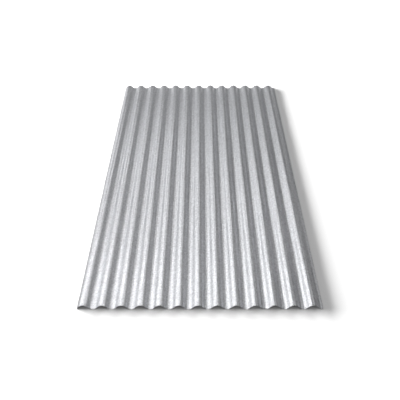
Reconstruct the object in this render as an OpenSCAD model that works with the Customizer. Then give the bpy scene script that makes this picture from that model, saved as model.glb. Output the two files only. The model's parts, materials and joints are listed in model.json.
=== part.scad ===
// Corrugated metal sheet: one rolled sheet of galvanised steel with round corrugations.
// The corrugations run along Y and follow each other along X. The sheet lies on the bottoms
// of its troughs, at z = 0, and the origin is in the middle of the box that it fills.
// Its left edge is the overlap leg, which comes down to the floor a little more steeply than
// the flanks do. Its right edge is the underlap lip, which ends just past the bottom of the
// last trough.

/* [Corrugation] */
// Distance from one crest to the next
pitch = 76; // [76:1:90]
// Height of a crest above a trough, measured on one face of the metal
depth = 19; // [12:0.5:19]
// Bend radius of every crest and trough, at the middle of the metal
bend_radius = 23.5; // [14:0.5:23.5]
// Number of crests
crests = 13; // [2:1:16]

/* [Sheet] */
// Length along the corrugations
sheet_length = 2000; // [500:50:6000]
// Thickness of the metal with its zinc
thickness = 0.75; // [0.4:0.05:1.5]
// Slope of the overlap leg at the left edge, from level
leg_angle = 58; // [50:1:70]
// How far the underlap lip at the right edge runs past the bottom of the last trough
lip = 3; // [0.5:0.5:8]

/* [Smoothness] */
// Flat facets that stand for one whole bend
bend_facets = 16; // [6:2:32]

/* [Hidden] */

half_metal = thickness / 2;
crest_centre_z = half_metal + depth - bend_radius;
trough_centre_z = half_metal + bend_radius;

// The flank between a crest and a trough is the line that touches both bends. A crest's
// centre and the next trough's centre are centre_run apart in x and centre_rise in z.
centre_run = pitch / 2;
centre_rise = depth - 2 * bend_radius;
flank_run = sqrt(pow(centre_run, 2) + pow(centre_rise, 2) - pow(2 * bend_radius, 2));
flank_angle = 90 + atan2(centre_rise, centre_run) - atan2(flank_run, 2 * bend_radius);

// The overlap leg goes on straight from the outer bend of the first crest until its lower
// corner is at z = 0.
leg_end_z = half_metal * cos(leg_angle);
leg_top_z = crest_centre_z + bend_radius * cos(leg_angle);
leg_reach = bend_radius * sin(leg_angle) + (leg_top_z - leg_end_z) / tan(leg_angle);

lip_angle = asin(lip / bend_radius);
last_trough_x = (crests - 0.5) * pitch;

// The first crest is at x = 0 until the whole profile is centred. The leg's upper corner and
// the lip's lower corner reach furthest to the sides.
left_edge_x = -leg_reach - half_metal * sin(leg_angle);
right_edge_x = last_trough_x + lip + half_metal * sin(lip_angle);
centring = -(left_edge_x + right_edge_x) / 2;

// The facets touch the true curve at their middles, so the corners between them lie further
// out from the bend's centre than the curve does, in this proportion.
facet_angle = 2 * flank_angle / bend_facets;
corner_stretch = 1 / cos(facet_angle / 2);

// A station is [place, up, stretch]: a point on the middle of the metal, the direction from
// there to the upper face, and how many times half_metal the way to either face is.

// The corners of one bend between two angles, which are counted from the bend's highest or
// lowest point. A facet is level there. Side is 1 on a crest and -1 in a trough.
function bend(centre, side, start_angle, end_angle) =
    let (first = ceil(start_angle / facet_angle - 0.5),
         last = floor(end_angle / facet_angle - 0.5))
    [for (i = [first : last])
        let (angle = (i + 0.5) * facet_angle,
             outward = [sin(angle), side * cos(angle)])
        [centre + bend_radius * corner_stretch * outward, side * outward, corner_stretch]];

function crest_bend(i) =
    bend([i * pitch, crest_centre_z], 1, i == 0 ? -leg_angle : -flank_angle, flank_angle);

function trough_bend(i) =
    bend([(i + 0.5) * pitch, trough_centre_z], -1, -flank_angle,
         i == crests - 1 ? lip_angle : flank_angle);

leg_end = [[-leg_reach, leg_end_z], [-sin(leg_angle), cos(leg_angle)], 1];
lip_end = [
    [last_trough_x + lip, trough_centre_z - bend_radius * cos(lip_angle)],
    [-sin(lip_angle), cos(lip_angle)],
    1
];

stations = concat(
    [leg_end],
    [for (i = [0 : crests - 1]) each concat(crest_bend(i), trough_bend(i))],
    [lip_end]
);

// The outline of one face of the metal: side is 1 for the upper face and -1 for the lower.
function face_outline(side) =
    [for (s = stations) s[0] + side * half_metal * s[2] * s[1]];

function reversed(list) = [for (i = [len(list) - 1 : -1 : 0]) list[i]];

module profile()
    translate([centring, 0])
        polygon(concat(face_outline(-1), reversed(face_outline(1))));

module corrugated_sheet()
    color("silver")
        rotate([90, 0, 0])
            linear_extrude(height = sheet_length, center = true)
                profile();

corrugated_sheet();
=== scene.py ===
"""A corrugated sheet of galvanised steel, on a plain pale floor in soft studio light.

The sheet is one roll-formed piece of metal. It is worked out here as a smooth closed surface
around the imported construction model, which it stands for, and keeps that model's box.
"""

import json
from math import radians

import bpy
import numpy as np
from bpy.props import FloatProperty, FloatVectorProperty, IntProperty, PointerProperty
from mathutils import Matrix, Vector

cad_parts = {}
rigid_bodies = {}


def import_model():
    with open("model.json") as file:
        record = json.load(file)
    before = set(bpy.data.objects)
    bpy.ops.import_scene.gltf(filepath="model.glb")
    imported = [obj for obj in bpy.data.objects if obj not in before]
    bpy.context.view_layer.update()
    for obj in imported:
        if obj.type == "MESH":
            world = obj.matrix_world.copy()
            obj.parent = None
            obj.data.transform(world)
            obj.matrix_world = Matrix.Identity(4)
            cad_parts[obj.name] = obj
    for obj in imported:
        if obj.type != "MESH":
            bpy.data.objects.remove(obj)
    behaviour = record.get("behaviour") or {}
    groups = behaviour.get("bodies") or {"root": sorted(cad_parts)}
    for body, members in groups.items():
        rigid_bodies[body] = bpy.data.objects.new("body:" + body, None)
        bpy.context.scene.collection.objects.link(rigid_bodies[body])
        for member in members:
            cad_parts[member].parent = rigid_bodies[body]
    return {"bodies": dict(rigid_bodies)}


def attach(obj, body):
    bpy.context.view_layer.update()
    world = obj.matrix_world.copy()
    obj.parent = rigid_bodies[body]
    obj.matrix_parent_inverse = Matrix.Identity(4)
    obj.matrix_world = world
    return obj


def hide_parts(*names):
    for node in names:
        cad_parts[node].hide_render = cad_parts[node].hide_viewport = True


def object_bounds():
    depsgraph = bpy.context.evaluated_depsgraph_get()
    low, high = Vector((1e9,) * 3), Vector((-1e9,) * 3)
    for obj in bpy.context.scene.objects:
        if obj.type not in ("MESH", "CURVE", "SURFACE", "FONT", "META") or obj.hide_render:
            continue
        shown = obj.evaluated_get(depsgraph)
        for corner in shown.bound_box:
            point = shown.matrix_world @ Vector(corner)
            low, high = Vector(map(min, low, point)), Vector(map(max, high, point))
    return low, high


bl_info = {
    "name": "Corrugated galvanised sheet",
    "version": (1, 0, 0),
    "blender": (4, 5, 0),
    "location": "View3D > Sidebar > Sheet",
    "description": "Makes a corrugated sheet of galvanised steel and a plain studio for it",
    "category": "Add Mesh",
}

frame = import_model()
CAD_LOW, CAD_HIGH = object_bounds()

CAD_NODE = "corrugated_sheet"
BODY = next(iter(frame["bodies"]))
SHEET_UV = "flat_sheet"
MM = 0.001


def linear(hex_colour):
    """Turns an sRGB colour such as "B8BCC0" into linear red, green and blue."""
    encoded = np.array([int(hex_colour[i:i + 2], 16) for i in (0, 2, 4)]) / 255
    low = encoded / 12.92
    high = ((encoded + 0.055) / 1.055) ** 2.4
    return tuple(float(c) for c in np.where(encoded <= 0.04045, low, high))


def length(name, description, default, **limits):
    """A property that holds a length in metres."""
    return FloatProperty(
        name=name, description=description, default=default, unit="LENGTH", precision=5, **limits
    )


def colour(name, description, hex_colour):
    """A property that holds a linear colour."""
    return FloatVectorProperty(
        name=name, description=description, default=linear(hex_colour),
        subtype="COLOR", size=3, min=0, max=1,
    )


# ---------------------------------------------------------------- properties


class SheetShape(bpy.types.PropertyGroup):
    """The sizes of the sheet. The defaults are those of the construction model."""

    pitch: length("Pitch", "Distance from one crest to the next", 76 * MM)
    depth: length("Depth", "Height of a crest above a trough on one face", 19 * MM)
    bend_radius: length("Bend radius", "Radius of each bend at the middle of the metal", 23.5 * MM)
    thickness: length("Thickness", "Thickness of the metal with its zinc", 0.75 * MM)
    crests: IntProperty(
        name="Crests", description="Number of crests across the sheet", default=13, min=2
    )
    leg_angle: FloatProperty(
        name="Leg slope", description="Slope of the overlap leg at the left edge",
        default=radians(58), subtype="ANGLE",
    )
    lip: length("Lip", "How far the right edge runs past the last trough's bottom", 3 * MM)
    edge_break: length("Edge break", "Width of the bevel that shearing leaves", 0.1 * MM)
    slack: length("Slack", "How much the depth of the corrugations varies", 0.08 * MM)
    slack_length: length("Slack length", "Shortest distance over which the depth varies", 180 * MM)


class ZincFinish(bpy.types.PropertyGroup):
    """The look of the galvanised metal."""

    zinc: colour("Zinc", "Colour of the zinc coating", "DBDCDF")
    steel: colour("Steel", "Colour of the bare steel on the sheared edges", "77797C")
    roughness: FloatProperty(
        name="Roughness", description="Roughness of the zinc", default=0.35, min=0, max=1,
        subtype="FACTOR",
    )
    spangle: length("Spangle", "Width of one zinc crystal", 4.5 * MM)
    mottle: length("Mottle", "Size of the cloudy patches in the zinc", 11 * MM)
    streak: length("Streak", "Width of the streaks that the forming rolls leave", 2.5 * MM)
    streak_length: length("Streak length", "Length of those streaks", 60 * MM)
    # Painted shade: a darker band along each sheared end, in place of the shadow along the cut
    # edges. These two set its width and depth.
    shaded_end_width: length("Shaded end", "Width of the darkened band along each sheared end", 1.5 * MM)
    shaded_end_tone: FloatProperty(
        name="End tone", description="How much of the zinc's brightness that band keeps",
        default=0.8, min=0, max=1, subtype="FACTOR",
    )


class StudioSet(bpy.types.PropertyGroup):
    """The floor, the lights and the camera."""

    floor: colour("Floor", "Colour of the floor", "E7E7E7")
    floor_size: length("Floor size", "Side of the square floor", 10)
    mirrored_floor: FloatProperty(
        name="Mirrored floor", description="How much of the floor's light the metal mirrors",
        default=0.45, min=0, max=1, subtype="FACTOR",
    )
    fill: FloatProperty(
        name="Fill", description="Brightness of the soft light in the shadows", default=0.48, min=0
    )
    key_level: FloatProperty(
        name="Key light", description="How bright the key alone makes the floor", default=1.2,
        min=0,
    )
    key_distance: length("Key distance", "From the sheet to the key light", 9)
    key_azimuth: FloatProperty(
        name="Key azimuth", description="How far behind the left side the key light stands",
        default=radians(21), subtype="ANGLE",
    )
    key_elevation: FloatProperty(
        name="Key elevation", description="Height of the key light above the floor, as an angle",
        default=radians(10), subtype="ANGLE",
    )
    key_width: length("Key width", "Width of the key light", 10)
    key_height: length("Key height", "Height of the key light", 1.6)
    softbox_level: FloatProperty(
        name="Softboxes", description="Brightness of the softboxes mirrored in the metal",
        default=1.45, min=0,
    )
    back_wall: FloatProperty(
        name="Back wall", description="Brightness of the studio's back wall", default=0.34, min=0
    )
    left_wall: FloatProperty(
        name="Left wall", description="Brightness of the studio's left wall", default=0.35, min=0
    )
    left_foot: FloatProperty(
        name="Left foot", description="Brightness of the left wall near the floor", default=0.75,
        min=0,
    )
    right_foot: FloatProperty(
        name="Right foot", description="Brightness of the right wall near the floor", default=0.35,
        min=0,
    )
    room: FloatProperty(
        name="Room", description="Brightness of the rest of the studio", default=0.02, min=0
    )
    camera_side: FloatProperty(
        name="Camera side", description="Brightness of the studio behind the camera", default=0.5,
        min=0,
    )
    camera_standoff: length("Camera standoff", "From the sheet's near end to the camera", 1.718)
    camera_height: length("Camera height", "From the floor to the camera", 1.774)
    camera_tilt: FloatProperty(
        name="Camera tilt", description="How far the camera looks down", default=radians(35.83),
        subtype="ANGLE",
    )
    focal_length: FloatProperty(
        name="Focal length", description="Focal length on a 36 mm sensor, in millimetres",
        default=55.22, min=1,
    )


# ---------------------------------------------------------------- the sheet's surface

POINTS_PER_BEND = 17
POINTS_ON_LEG_BEND = 2
ROWS = 97
SHARP_EDGE = radians(35)

# The slow waves of the slack: height, waves in one slack length along the sheet and across it,
# and start.
SLACK_WAVES = ((1.0, 0.9, 0.35, 0.7), (0.8, 0.53, -0.62, 2.1), (0.6, 0.31, 0.95, 4.0))


def flank_slope(shape):
    """The slope of the straight flank that touches a crest's bend and the next trough's bend.

    The two bend centres are half a pitch apart across and depth - 2 * radius apart up. The
    flank leans from the line between them by the angle whose tangent is flank / (2 * radius).
    """
    across = shape.pitch / 2
    up = shape.depth - 2 * shape.bend_radius
    flank = np.sqrt(across**2 + up**2 - (2 * shape.bend_radius) ** 2)
    return np.pi / 2 + np.arctan2(up, across) - np.arctan2(flank, 2 * shape.bend_radius)


def middle_line(shape):
    """The middle of the metal from the overlap edge to the underlap edge: across, up and tilt.

    The tilt t is how far the metal's upper side leans to the right. A crest's bend is at its
    centre + radius * (sin t, cos t) while t grows from -slope to slope, and a trough's bend is
    at its centre - radius * (sin t, cos t) while t falls again. The overlap leg goes on at its
    own slope to the floor, and the last trough stops at the lip.
    """
    radius = shape.bend_radius
    half_metal = shape.thickness / 2
    crest_z = half_metal + shape.depth - radius
    trough_z = half_metal + radius
    slope = flank_slope(shape)

    sweep = np.linspace(-slope, slope, POINTS_PER_BEND)
    crest_x = np.arange(shape.crests)[:, None] * shape.pitch
    bend_x = radius * np.sin(sweep)
    bend_z = radius * np.cos(sweep)
    across = np.stack([crest_x + bend_x, crest_x + shape.pitch / 2 + bend_x], 1).ravel()
    up = np.tile(np.concatenate([crest_z + bend_z, trough_z - bend_z]), shape.crests)
    tilt = np.tile(np.concatenate([sweep, -sweep]), shape.crests)

    # A bend point closer to the lip than a third of a step is left out, so none crowds its edge.
    lip_x = (shape.crests - 0.5) * shape.pitch + shape.lip
    lip_tilt = -np.arcsin(shape.lip / radius)
    kept = across < lip_x - radius * (sweep[1] - sweep[0]) / 3
    lip_z = trough_z - radius * np.cos(lip_tilt)

    leg = shape.leg_angle
    leg_sweep = np.linspace(-leg, -slope, POINTS_ON_LEG_BEND, endpoint=False)
    leg_z = half_metal * np.cos(leg)
    leg_x = -radius * np.sin(leg) - (crest_z + radius * np.cos(leg) - leg_z) / np.tan(leg)

    across = np.concatenate([[leg_x], radius * np.sin(leg_sweep), across[kept], [lip_x]])
    up = np.concatenate([[leg_z], crest_z + radius * np.cos(leg_sweep), up[kept], [lip_z]])
    tilt = np.concatenate([[-leg], leg_sweep, tilt[kept], [lip_tilt]])
    return across, up, tilt


def section_ring(shape, half_metal):
    """The closed outline of the metal's section, and the flat width that each point is at.

    The upper face is the middle line moved by half_metal along the direction of its tilt, and
    the lower face by as much the other way. Each side edge has a small bevel. The ring starts
    on the left edge, goes over the upper face, and comes back under the lower one, so that
    points j and -1 - j are opposite each other.
    """
    across, up, tilt = middle_line(shape)
    middle = np.stack([across, up], 1)
    outward = np.stack([np.sin(tilt), np.cos(tilt)], 1)
    along = np.stack([np.cos(tilt), -np.sin(tilt)], 1)
    steps = np.hypot(*np.diff(middle, axis=0).T)
    flat = np.concatenate([[0], np.cumsum(steps)])

    inset = np.zeros(len(flat))
    inset[0] = shape.edge_break
    inset[-1] = -shape.edge_break
    upper = middle + inset[:, None] * along + half_metal * outward
    lower = middle + inset[:, None] * along - half_metal * outward
    ends = [0, -1]
    corner = (half_metal - shape.edge_break) * outward[ends]
    top_left, top_right = middle[ends] + corner
    bottom_left, bottom_right = middle[ends] - corner

    ring = np.concatenate([
        [top_left], upper, [top_right], [bottom_right], lower[::-1], [bottom_left],
    ])
    half_ring_flat = np.concatenate([[0], flat, flat[-1:]])
    return ring, np.concatenate([half_ring_flat, half_ring_flat[::-1]])


def slack_field(shape, x, y):
    """How much of the slack there is at each place, from 0 to 1.

    It is the sum of height * sin(turn * (along * y + across * x) + start) over the slow waves,
    moved and scaled so that it can't leave that range.
    """
    turn = 2 * np.pi / shape.slack_length
    waves = sum(
        height * np.sin(turn * (along * y + across * x) + start)
        for height, along, across, start in SLACK_WAVES
    )
    highest = sum(wave[0] for wave in SLACK_WAVES)
    return (waves / highest + 1) / 2


def sheet_surface(shape):
    """Vertices, faces, cut faces and flat coordinates of the whole sheet.

    The section is repeated in rows along Y. The outermost row at each end is drawn in by the
    width of the edge bevel. The height is multiplied by 1 - slack * field / depth, which
    lowers the crests a little here and there and leaves the troughs on the floor. The flat
    coordinates are in metres on the metal as it was before forming: the distance along the
    section, with the lower face laid out beside the upper one, and the distance along Y.
    """
    half_metal = shape.thickness / 2
    full, flat = section_ring(shape, half_metal)
    drawn_in, _ = section_ring(shape, half_metal - shape.edge_break)

    low_y, high_y = CAD_LOW.y, CAD_HIGH.y
    inner = np.linspace(low_y + shape.edge_break, high_y - shape.edge_break, ROWS - 2)
    rows = np.concatenate([[low_y], inner, [high_y]])
    sections = np.repeat(full[None], ROWS, axis=0)
    sections[[0, -1]] = drawn_in

    x = sections[..., 0] - (full[:, 0].min() + full[:, 0].max()) / 2
    x += (CAD_LOW.x + CAD_HIGH.x) / 2
    y = np.broadcast_to(rows[:, None], x.shape)
    field = slack_field(shape, x, y)
    z = CAD_LOW.z + sections[..., 1] * (1 - shape.slack / shape.depth * field)
    vertices = np.stack([x, y, z], -1).reshape(-1, 3)

    around = len(full)
    here = np.arange(around)
    after = (here + 1) % around
    row = np.arange(ROWS - 1)[:, None] * around
    walls = np.stack(
        [row + here, row + after, row + around + after, row + around + here], -1
    ).reshape(-1, 4)
    half = np.arange(around // 2 - 1)
    opposite = around - 1 - half
    near_end = np.stack([half + 1, half, opposite, opposite - 1], 1)
    far_end = near_end[:, ::-1] + (ROWS - 1) * around
    faces = np.concatenate([walls, near_end, far_end])

    # The cut at each side edge is one face and the two bevels beside it.
    right_cut = around // 2 - 1
    left_cut = around - 1
    side_cut = np.isin(here, [right_cut - 1, right_cut, right_cut + 1, left_cut - 1, left_cut, 0])
    wall_cut = np.broadcast_to(side_cut, (ROWS - 1, around)).copy()
    wall_cut[[0, -1]] = True
    cut = np.concatenate([wall_cut.ravel(), np.ones(2 * len(near_end), bool)])

    lower_side = here >= around // 2
    flat_x = flat + lower_side * (flat.max() + shape.pitch)
    flat_xy = np.stack(np.broadcast_arrays(flat_x, rows[:, None] - low_y), -1).reshape(-1, 2)
    return vertices, faces, cut, flat_xy


def make_sheet_mesh(shape):
    """Puts the computed surface into a smooth mesh with sharp sheared edges."""
    vertices, faces, cut, flat_xy = sheet_surface(shape)
    mesh = bpy.data.meshes.new("galvanised_sheet")
    mesh.from_pydata(vertices, [], faces)
    mesh.polygons.foreach_set("material_index", cut.astype(np.int32))
    corners = np.empty(len(mesh.loops), np.int32)
    mesh.loops.foreach_get("vertex_index", corners)
    flat_map = mesh.uv_layers.new(name=SHEET_UV)
    flat_map.data.foreach_set("uv", flat_xy[corners].ravel())
    mesh.shade_smooth()
    mesh.set_sharp_from_angle(angle=SHARP_EDGE)
    mesh.validate()
    return mesh


# ---------------------------------------------------------------- materials


def add_node(tree, kind, inputs=(), **settings):
    """Adds a node: settings are its own attributes, inputs are values or sockets by name."""
    node = tree.nodes.new(kind)
    for name, value in settings.items():
        setattr(node, name, value)
    for name, value in dict(inputs).items():
        if isinstance(value, bpy.types.NodeSocket):
            tree.links.new(value, node.inputs[name])
        else:
            node.inputs[name].default_value = value
    return node


def new_material(name):
    """An empty material and its node tree, with only an output."""
    material = bpy.data.materials.new(name)
    material.use_nodes = True
    tree = material.node_tree
    tree.nodes.clear()
    return material, tree, add_node(tree, "ShaderNodeOutputMaterial")


# How far each noise swings, and the least and most brightness that each pattern gives.
STREAK_SWING = (0.25, 0.75)
MOTTLE_SWING = (0.3, 0.7)
CRYSTAL_TONE = (0.84, 1.14)
STREAK_TONE = (0.93, 1.07)
MOTTLE_TONE = (0.97, 1.03)
SHADED_END_FADE = 0.4
ROUGHNESS_SPREAD = 0.04
CRYSTAL_LEAN = 0.03
STREAK_RELIEF = 0.05 * MM
STREAK_RELIEF_SHARE = 0.1
SHEAR_GRAIN = 2 * MM
SHEAR_TONE = (0.75, 1.25)
SHEAR_ROUGHNESS = 0.55


def hot_dip_galvanised_steel(finish):
    """Hot-dip galvanised steel, roll-formed.

    The zinc freezes into flat crystals that each lean a little their own way, so the grey is
    speckled. The coat is a little cloudy as well, and the forming rolls draw fine streaks along
    the corrugations. It is a satin metal that mirrors its surroundings softly, with no clear
    picture in it. A darker band along each end is painted shade.
    """
    material, tree, output = new_material("hot_dip_galvanised_steel")
    flat = add_node(tree, "ShaderNodeUVMap", uv_map=SHEET_UV).outputs["UV"]
    place = add_node(tree, "ShaderNodeTexCoord").outputs["Object"]

    crystals = add_node(
        tree, "ShaderNodeTexVoronoi",
        {"Vector": flat, "Scale": 1 / finish.spangle, "Randomness": 1.0},
        voronoi_dimensions="2D",
    ).outputs["Color"]
    crystal = add_node(tree, "ShaderNodeSeparateColor", {"Color": crystals}).outputs

    along_rolls = add_node(
        tree, "ShaderNodeMapping",
        {"Vector": flat, "Scale": (1 / finish.streak, 1 / finish.streak_length, 1)},
    ).outputs["Vector"]
    streaks = add_node(
        tree, "ShaderNodeTexNoise", {"Vector": along_rolls, "Scale": 1.0, "Detail": 3.0},
        noise_dimensions="2D",
    ).outputs["Fac"]
    mottle = add_node(
        tree, "ShaderNodeTexNoise", {"Vector": place, "Scale": 1 / finish.mottle, "Detail": 1.0},
    ).outputs["Fac"]

    crystal_tone = add_node(
        tree, "ShaderNodeMapRange",
        {"Value": crystal["Red"], "To Min": CRYSTAL_TONE[0], "To Max": CRYSTAL_TONE[1]},
    ).outputs["Result"]
    streak_tone = add_node(
        tree, "ShaderNodeMapRange",
        {
            "Value": streaks, "From Min": STREAK_SWING[0], "From Max": STREAK_SWING[1],
            "To Min": STREAK_TONE[0], "To Max": STREAK_TONE[1],
        },
    ).outputs["Result"]
    mottle_tone = add_node(
        tree, "ShaderNodeMapRange",
        {
            "Value": mottle, "From Min": MOTTLE_SWING[0], "From Max": MOTTLE_SWING[1],
            "To Min": MOTTLE_TONE[0], "To Max": MOTTLE_TONE[1],
        },
    ).outputs["Result"]
    tone = add_node(
        tree, "ShaderNodeMath", {0: crystal_tone, 1: streak_tone}, operation="MULTIPLY"
    ).outputs[0]
    tone = add_node(
        tree, "ShaderNodeMath", {0: tone, 1: mottle_tone}, operation="MULTIPLY"
    ).outputs[0]
    # Painted shade: the zinc's colour is darkened in a band along both sheared ends, in place of
    # the shadow along the cut edges.
    along = add_node(tree, "ShaderNodeSeparateXYZ", {"Vector": place}).outputs["Y"]
    from_middle = add_node(tree, "ShaderNodeMath", {0: along}, operation="ABSOLUTE").outputs[0]
    band_edge = CAD_HIGH.y - finish.shaded_end_width
    fade = SHADED_END_FADE * finish.shaded_end_width
    shaded_end_tone = add_node(
        tree, "ShaderNodeMapRange",
        {
            "Value": from_middle, "From Min": band_edge - fade, "From Max": band_edge + fade,
            "To Min": 1.0, "To Max": finish.shaded_end_tone,
        },
    ).outputs["Result"]
    tone = add_node(tree, "ShaderNodeMath", {0: tone, 1: shaded_end_tone}, operation="MULTIPLY").outputs[0]
    zinc = add_node(
        tree, "ShaderNodeVectorMath", {0: tuple(finish.zinc), "Scale": tone}, operation="SCALE"
    ).outputs["Vector"]

    rough = add_node(
        tree, "ShaderNodeMapRange",
        {
            "Value": crystal["Green"],
            "To Min": finish.roughness - ROUGHNESS_SPREAD,
            "To Max": finish.roughness + ROUGHNESS_SPREAD,
        },
    ).outputs["Result"]

    lean = add_node(
        tree, "ShaderNodeVectorMath", {0: crystals, 1: (0.5, 0.5, 0.5)}, operation="SUBTRACT"
    ).outputs["Vector"]
    facing = add_node(tree, "ShaderNodeNewGeometry").outputs["Normal"]
    leaning = add_node(
        tree, "ShaderNodeVectorMath", {0: lean, 1: (CRYSTAL_LEAN,) * 3, 2: facing},
        operation="MULTIPLY_ADD",
    ).outputs["Vector"]
    crystal_normal = add_node(
        tree, "ShaderNodeVectorMath", {0: leaning}, operation="NORMALIZE"
    ).outputs["Vector"]
    relief = add_node(
        tree, "ShaderNodeBump",
        {
            "Height": streaks, "Strength": STREAK_RELIEF_SHARE, "Distance": STREAK_RELIEF,
            "Normal": crystal_normal,
        },
    ).outputs["Normal"]

    shader = add_node(
        tree, "ShaderNodeBsdfPrincipled",
        {"Base Color": zinc, "Metallic": 1.0, "Roughness": rough, "Normal": relief},
    )
    tree.links.new(shader.outputs["BSDF"], output.inputs["Surface"])
    return material


def sheared_steel(finish):
    """Cold-rolled steel, sheared: the cut edge is darker, rougher and grainier than the zinc."""
    material, tree, output = new_material("sheared_steel")
    place = add_node(tree, "ShaderNodeTexCoord").outputs["Object"]
    grain = add_node(
        tree, "ShaderNodeTexNoise", {"Vector": place, "Scale": 1 / SHEAR_GRAIN, "Detail": 2.0}
    ).outputs["Fac"]
    tone = add_node(
        tree, "ShaderNodeMapRange",
        {"Value": grain, "To Min": SHEAR_TONE[0], "To Max": SHEAR_TONE[1]},
    ).outputs["Result"]
    steel = add_node(
        tree, "ShaderNodeVectorMath", {0: tuple(finish.steel), "Scale": tone}, operation="SCALE"
    ).outputs["Vector"]
    shader = add_node(
        tree, "ShaderNodeBsdfPrincipled",
        {"Base Color": steel, "Metallic": 1.0, "Roughness": SHEAR_ROUGHNESS},
    )
    tree.links.new(shader.outputs["BSDF"], output.inputs["Surface"])
    return material


def matt_painted_floor(studio):
    """Matt painted board: plain and pale, so that only the sheet's shadow shows on it.

    The floor is lit to beyond white. The metal mirrors it darker, so that it keeps its grey.
    """
    material, tree, output = new_material("matt_painted_floor")
    mirrored = add_node(tree, "ShaderNodeLightPath").outputs["Is Glossy Ray"]
    share = add_node(
        tree, "ShaderNodeMapRange",
        {"Value": mirrored, "To Min": 1.0, "To Max": studio.mirrored_floor},
    ).outputs["Result"]
    paint = add_node(
        tree, "ShaderNodeVectorMath", {0: tuple(studio.floor), "Scale": share}, operation="SCALE"
    ).outputs["Vector"]
    shader = add_node(tree, "ShaderNodeBsdfDiffuse", {"Color": paint, "Roughness": 0.0})
    tree.links.new(shader.outputs["BSDF"], output.inputs["Surface"])
    return material


# ---------------------------------------------------------------- the studio


# Every softbox is a disc that looks at the middle of the floor under the sheet. They show only
# as the bright stripes in the metal. Their places and brightness come from a least-squares fit
# of the metal's shading, rounded, and so does the brightness of the back and left walls.
# Each row is name, distance in metres, elevation and azimuth in degrees, and brightness. The
# azimuth is counted from the left side round by the back.
SOFTBOXES = (
    ("left_panel", 1.7, 40, 10, 2.4),
    ("left_high", 1.6, 50, 25, 2.4),
    ("left_far", 3.5, 20, 25, 1.7),
    ("left_back_far", 3.5, 20, 50, 1.0),
    ("left_back", 1.2, 50, 50, 1.3),
    ("left_overhead", 1.6, 65, 50, 3.0),
    ("back_low", 2.5, 15, 60, 0.3),
    ("back_high", 1.6, 35, 75, 0.9),
    ("back", 2.5, 28, 90, 0.5),
    ("right_back", 1.2, 50, 110, 1.4),
    ("overhead", 1.2, 80, 140, 3.0),
    ("right", 1.6, 35, 150, 0.5),
    ("right_high", 3.5, 50, 150, 1.6),
)
SOFTBOX_SPREAD = radians(8)  # half of a softbox's width, as seen from the sheet
FLOOR_CLEARANCE = 0.2 * MM
SENSOR_WIDTH = 36  # millimetres

STUDIO_LIGHT = "FDFEFF"

# The studio's walls are told apart by the direction that the metal mirrors: x is to the right,
# y is away from the camera and z is up.
BACK_WALL_Y = (0.76, 0.86)  # where the wall begins, and where it has all its brightness
CAMERA_SIDE_Y = (0.4, 0.1)  # the same
SIDE_WALL_X = 0.7  # where the left or right wall has all its brightness
WALL_FOOT_Z = (0.1, 0.3)  # the top of the foot, and where the wall above it begins in full
CAMERA_SIDE_X = (-0.8, 0.8)  # the left and right ends of the camera side
CAMERA_SIDE_SHARE = (1.6, 0.3)  # how many times its brightness it has at those ends


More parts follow.
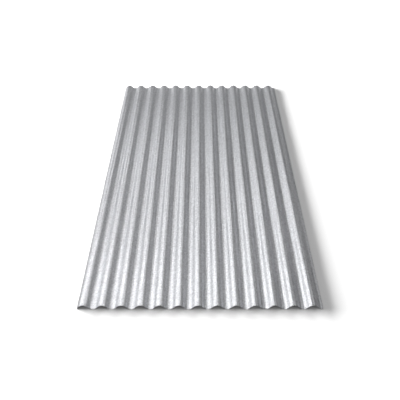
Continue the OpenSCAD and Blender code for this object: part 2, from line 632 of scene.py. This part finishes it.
def studio_surroundings(studio):
    """The room around the sheet, as the camera, the matt floor and the metal each see it.

    The camera sees plain white and the floor gets an even fill. The metal mirrors a dim room
    with a pale back wall, a left wall that is brighter at its foot, the foot of a right wall,
    and behind the camera a side that is brighter on the left than on the right.
    """
    world = bpy.data.worlds.new("studio")
    bpy.context.scene.world = world
    world.use_nodes = True
    tree = world.node_tree
    tree.nodes.clear()
    direction = add_node(tree, "ShaderNodeTexCoord").outputs["Generated"]
    toward = add_node(tree, "ShaderNodeSeparateXYZ", {"Vector": direction}).outputs
    strength = add_node(
        tree, "ShaderNodeMapRange",
        {
            "Value": toward["Y"], "From Min": BACK_WALL_Y[0], "From Max": BACK_WALL_Y[1],
            "To Min": studio.room, "To Max": studio.back_wall,
        },
    ).outputs["Result"]
    from_left = add_node(
        tree, "ShaderNodeMapRange",
        {
            "Value": toward["X"],
            "From Min": CAMERA_SIDE_X[0], "From Max": CAMERA_SIDE_X[1],
            "To Min": studio.camera_side * CAMERA_SIDE_SHARE[0],
            "To Max": studio.camera_side * CAMERA_SIDE_SHARE[1],
        },
    ).outputs["Result"]
    camera_side = add_node(
        tree, "ShaderNodeMapRange",
        {
            "Value": toward["Y"], "From Min": CAMERA_SIDE_Y[1], "From Max": CAMERA_SIDE_Y[0],
            "To Min": from_left, "To Max": 0.0,
        },
    ).outputs["Result"]
    strength = add_node(tree, "ShaderNodeMath", {0: strength, 1: camera_side}).outputs[0]
    left = (-SIDE_WALL_X, studio.left_foot, studio.left_wall)
    right = (SIDE_WALL_X, studio.right_foot, 0.0)
    for full_at, foot, wall in (left, right):
        height = add_node(
            tree, "ShaderNodeMapRange",
            {
                "Value": toward["Z"], "From Min": WALL_FOOT_Z[0], "From Max": WALL_FOOT_Z[1],
                "To Min": foot, "To Max": wall,
            },
        ).outputs["Result"]
        side = add_node(
            tree, "ShaderNodeMapRange",
            {
                "Value": toward["X"], "From Min": full_at, "From Max": 0.0,
                "To Min": height, "To Max": 0.0,
            },
        ).outputs["Result"]
        strength = add_node(tree, "ShaderNodeMath", {0: strength, 1: side}).outputs[0]
    lit = add_node(
        tree, "ShaderNodeBackground",
        {"Color": (*linear(STUDIO_LIGHT), 1), "Strength": strength},
    ).outputs["Background"]
    plain = (1, 1, 1, 1)
    fill = add_node(
        tree, "ShaderNodeBackground", {"Color": plain, "Strength": studio.fill}
    ).outputs["Background"]
    white = add_node(
        tree, "ShaderNodeBackground", {"Color": plain, "Strength": 1.0}
    ).outputs["Background"]
    ray = add_node(tree, "ShaderNodeLightPath").outputs
    lit = add_node(
        tree, "ShaderNodeMixShader", {"Fac": ray["Is Glossy Ray"], 1: fill, 2: lit}
    ).outputs["Shader"]
    mixed = add_node(
        tree, "ShaderNodeMixShader", {"Fac": ray["Is Camera Ray"], 1: lit, 2: white}
    ).outputs["Shader"]
    output = add_node(tree, "ShaderNodeOutputWorld")
    tree.links.new(mixed, output.inputs["Surface"])


def place(thing, position, target):
    """Puts a light or camera at a position, so that it looks at the target."""
    thing.location = position
    aim = target - thing.location
    thing.rotation_euler = aim.to_track_quat("-Z", "Y").to_euler()


def add_object(name, data):
    """Links a new object to the scene."""
    thing = bpy.data.objects.new(name, data)
    bpy.context.scene.collection.objects.link(thing)
    return thing


def add_floor(studio, middle):
    """A flat square just under the sheet's troughs."""
    half = studio.floor_size / 2
    z = CAD_LOW.z - FLOOR_CLEARANCE
    corners = np.array([[-1, -1], [1, -1], [1, 1], [-1, 1]]) * half + [middle.x, middle.y]
    mesh = bpy.data.meshes.new("floor")
    mesh.from_pydata(np.column_stack([corners, np.full(4, z)]), [], [[0, 1, 2, 3]])
    mesh.materials.append(matt_painted_floor(studio))
    floor = add_object("floor", mesh)


def toward_light(azimuth, elevation):
    """The direction of a light, which the azimuth turns from the left side to the back."""
    level = np.cos(elevation)
    return Vector((-np.cos(azimuth) * level, np.sin(azimuth) * level, np.sin(elevation)))


def add_lights(studio, middle):
    """A wide, low key light from the left and a little behind, and the softboxes.

    The key casts the shadow. Its power is what a small light would need to make the floor as
    bright as is asked: pi squared * level * distance squared, divided by the floor's paleness
    and by the sine of the key's elevation. A softbox's power is pi * area * brightness.
    """
    key = bpy.data.lights.new("key", "AREA")
    key.shape = "RECTANGLE"
    key.size = studio.key_width
    key.size_y = studio.key_height
    floor_share = studio.floor[0] * np.sin(studio.key_elevation)
    key.energy = np.pi**2 * studio.key_level * studio.key_distance**2 / floor_share
    key_light = add_object("key", key)
    toward_key = toward_light(studio.key_azimuth, studio.key_elevation)
    place(key_light, middle + toward_key * studio.key_distance, middle)
    key_light.visible_camera = False
    key_light.visible_glossy = False

    origin = Vector((0, 0, 0))
    for name, distance, elevation, azimuth, brightness in SOFTBOXES:
        box = bpy.data.lights.new(name, "AREA")
        box.shape = "DISK"
        box.size = 2 * distance * np.tan(SOFTBOX_SPREAD)
        area = np.pi * (box.size / 2) ** 2
        box.energy = np.pi * area * brightness * studio.softbox_level
        softbox = add_object(name, box)
        toward_box = toward_light(radians(azimuth), radians(elevation))
        place(softbox, toward_box * distance, origin)
        softbox.visible_camera = False
        softbox.visible_diffuse = False


def add_camera(studio, middle):
    """The camera stands in front of the near end and looks down along the corrugations."""
    lens = bpy.data.cameras.new("camera")
    lens.sensor_width = SENSOR_WIDTH
    lens.lens = studio.focal_length
    camera = add_object("camera", lens)
    near_end = CAD_LOW.y - studio.camera_standoff
    camera.location = (middle.x, near_end, CAD_LOW.z + studio.camera_height)
    camera.rotation_euler = (radians(90) - studio.camera_tilt, 0, 0)
    bpy.context.scene.camera = camera


# ---------------------------------------------------------------- operators and panel


class SHEET_OT_make_sheet(bpy.types.Operator):
    """Make the corrugated sheet, which stands for the construction model's node"""

    bl_idname = "sheet.make_sheet"
    bl_label = "Make Corrugated Sheet"

    def execute(self, context):
        shape = context.scene.sheet_shape
        finish = context.scene.zinc_finish
        mesh = make_sheet_mesh(shape)
        mesh.materials.append(hot_dip_galvanised_steel(finish))
        mesh.materials.append(sheared_steel(finish))
        sheet = add_object("galvanised_sheet", mesh)
        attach(sheet, BODY)
        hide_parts(CAD_NODE)
        return {"FINISHED"}


class SHEET_OT_make_studio(bpy.types.Operator):
    """Make the floor, the lights and the camera"""

    bl_idname = "sheet.make_studio"
    bl_label = "Make Studio"

    def execute(self, context):
        studio = context.scene.studio_set
        middle = (CAD_LOW + CAD_HIGH) / 2
        context.scene.view_settings.view_transform = "Standard"
        studio_surroundings(studio)
        add_floor(studio, middle)
        add_lights(studio, middle)
        add_camera(studio, middle)
        return {"FINISHED"}


class SHEET_PT_panel(bpy.types.Panel):
    """Sizes, finish and studio of the corrugated sheet"""

    bl_idname = "SHEET_PT_panel"
    bl_label = "Corrugated Sheet"
    bl_space_type = "VIEW_3D"
    bl_region_type = "UI"
    bl_category = "Sheet"

    def draw(self, context):
        scene = context.scene
        for group in (scene.sheet_shape, scene.zinc_finish, scene.studio_set):
            box = self.layout.box()
            for name in group.__annotations__:
                box.prop(group, name)
        self.layout.operator(SHEET_OT_make_sheet.bl_idname)
        self.layout.operator(SHEET_OT_make_studio.bl_idname)


CLASSES = (
    SheetShape, ZincFinish, StudioSet, SHEET_OT_make_sheet, SHEET_OT_make_studio, SHEET_PT_panel,
)


def register():
    for cls in CLASSES:
        bpy.utils.register_class(cls)
    bpy.types.Scene.sheet_shape = PointerProperty(type=SheetShape)
    bpy.types.Scene.zinc_finish = PointerProperty(type=ZincFinish)
    bpy.types.Scene.studio_set = PointerProperty(type=StudioSet)


def unregister():
    del bpy.types.Scene.sheet_shape
    del bpy.types.Scene.zinc_finish
    del bpy.types.Scene.studio_set
    for cls in reversed(CLASSES):
        bpy.utils.unregister_class(cls)


def main():
    """Makes everything."""
    register()
    bpy.ops.sheet.make_sheet()
    bpy.ops.sheet.make_studio()


if __name__ == "__main__":
    main()
